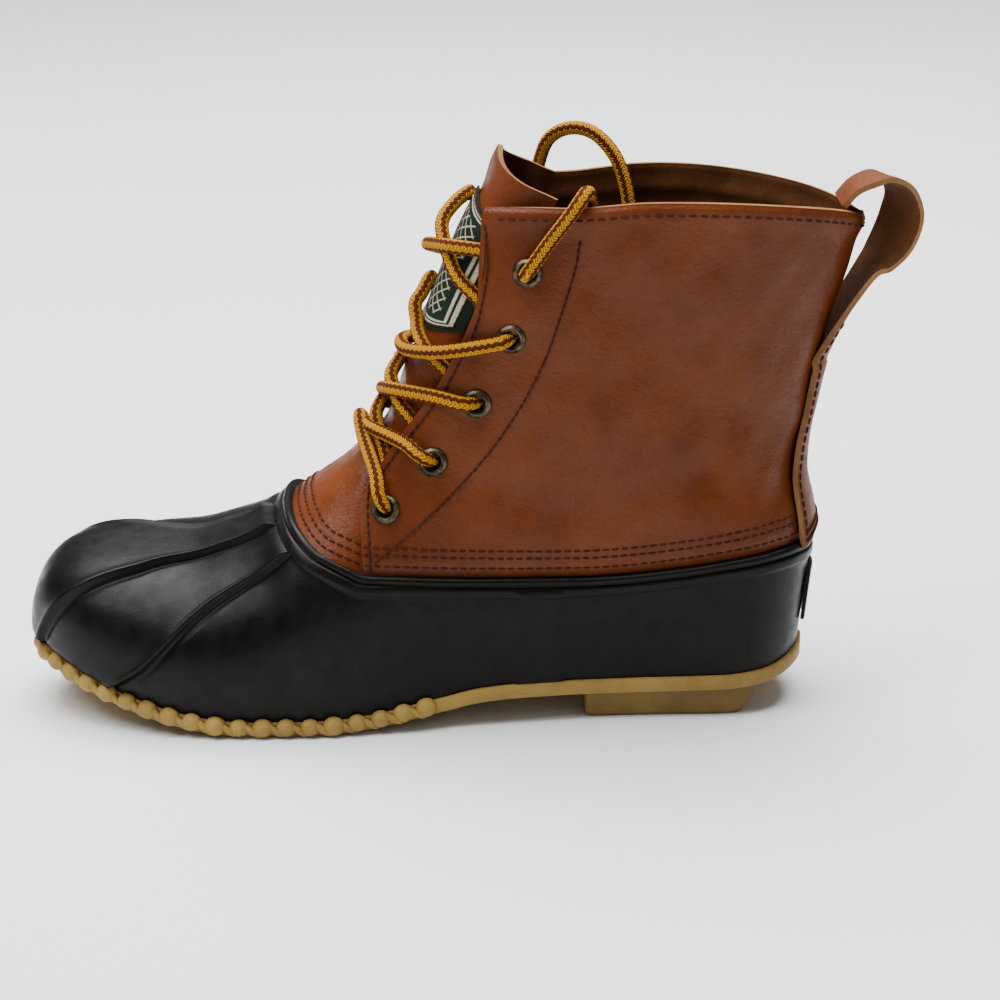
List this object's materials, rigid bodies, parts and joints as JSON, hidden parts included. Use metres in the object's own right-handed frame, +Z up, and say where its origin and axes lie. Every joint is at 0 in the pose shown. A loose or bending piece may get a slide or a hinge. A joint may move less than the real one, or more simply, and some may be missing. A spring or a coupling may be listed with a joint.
{
  "type": "duck boot",
  "caption": "Left ankle boot with a moulded rubber bottom, gum chain sole and heel, and a laced leather shaft with tongue and pull loop.",
  "frame": {"origin": "middle of the heel block's flat bottom, on the floor", "axes": "+Z up, -X towards the toe, -Y towards the outer (lateral) side of the left foot"},
  "size_m": [0.3358, 0.0986, 0.2145],
  "materials": {
    "gum": "matte",
    "gum_heel": "matte",
    "rubber": "satin",
    "leather": "satin",
    "strap": "matte",
    "brass": "antique",
    "lace": "matte",
    "label": "matte",
    "insole": "matte"
  },
  "bodies": {
    "root": {"outsole": "gum", "heel_block": "gum_heel", "rubber_shell": "rubber", "heel_plate": "rubber", "insole": "insole", "upper": "leather", "tongue": "leather", "tongue_label": "label", "pull_loop": "strap", "lace_end_lateral": "lace", "lace_end_medial": "lace", "eyelet_lateral_1": "brass", "eyelet_lateral_2": "brass", "eyelet_lateral_3": "brass", "eyelet_lateral_4": "brass", "eyelet_lateral_5": "brass", "eyelet_medial_1": "brass", "eyelet_medial_2": "brass", "eyelet_medial_3": "brass", "eyelet_medial_4": "brass", "eyelet_medial_5": "brass", "lace_crossing_1": "lace", "lace_crossing_2": "lace", "lace_crossing_3": "lace", "lace_crossing_4": "lace"}
  },
  "joints": []
}
